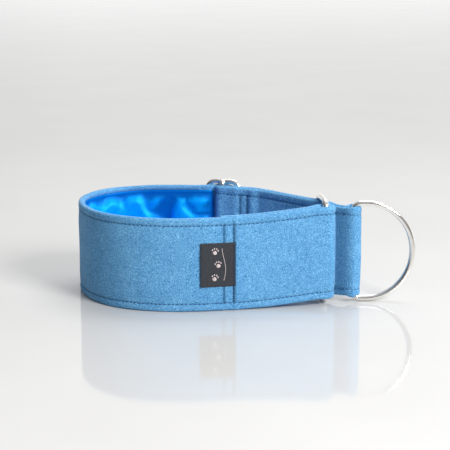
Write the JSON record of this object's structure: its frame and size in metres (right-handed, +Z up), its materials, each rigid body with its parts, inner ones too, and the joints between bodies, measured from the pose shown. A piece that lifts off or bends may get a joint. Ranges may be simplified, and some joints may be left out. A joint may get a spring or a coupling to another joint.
{
  "type": "martingale dog collar",
  "caption": "Wide padded dog collar of suede-covered webbing. Its sewn strap runs through a slip ring to a leash ring, so a pull on the leash tightens it.",
  "frame": {"origin": "middle of the footprint, on the surface that the collar stands on", "axes": "+X towards the leash ring, +Y towards the slide adjuster's side, +Z up"},
  "size_m": [0.1822, 0.0816, 0.0569],
  "materials": {
    "suede": "soft napped faux suede, light blue",
    "satin": "glossy azure satin, lightly puckered",
    "webbing": "woven polyester webbing, hidden",
    "foam": "soft padding, hidden",
    "label": "woven damask label, charcoal",
    "thread": "matte polyester thread",
    "metal": "polished nickel plate on round steel wire"
  },
  "bodies": {
    "neck_band": {"ring_end_cover": "suede", "ring_end_webbing": "webbing", "neck_cover": "suede", "neck_webbing": "webbing", "neck_padding": "foam", "neck_lining": "satin", "edge_stitch_lower": "thread", "edge_stitch_upper": "thread", "ring_end_seam_right": "thread", "ring_end_seam_left": "thread", "woven_label": "label"},
    "slip_ring": {"slip_ring": "metal"},
    "control_strap": {"control_outer_cover": "suede", "control_outer_webbing": "webbing", "control_inner_cover": "suede", "control_inner_webbing": "webbing", "leash_loop_cover": "suede", "leash_loop_webbing": "webbing"},
    "leash_ring": {"leash_ring": "metal"},
    "slide_adjuster": {"adjuster_frame": "metal", "adjuster_bar": "metal", "woven_cover": "suede", "woven_webbing": "webbing", "hem_cover": "suede", "hem_webbing": "webbing", "hem_seam_left": "thread", "hem_seam_right": "thread"}
  },
  "joints": [
    {"name": "tighten", "type": "slide", "parent": "neck_band", "child": "control_strap", "axis": [0.7314, -0.682, 0], "range_m": [0, 0.028]},
    {"name": "size_adjust", "type": "slide", "parent": "control_strap", "child": "slide_adjuster", "axis": [0.9205, -0.3907, 0], "range_m": [0, 0.008], "deforming": ["control_outer_cover", "control_outer_webbing", "control_inner_cover", "control_inner_webbing"]},
    {"name": "leash_ring_swing", "type": "hinge", "parent": "control_strap", "child": "leash_ring", "pos_m": [0.05782, -0.01872, 0.0277], "axis": [0, 0, 1], "range_deg": [-85, 85]},
    {"name": "slip_ring_swing", "type": "hinge", "parent": "neck_band", "child": "slip_ring", "pos_m": [0.04277, -0.02337, 0.0285], "axis": [0, 0, 1], "range_deg": [-18, 1]}
  ]
}
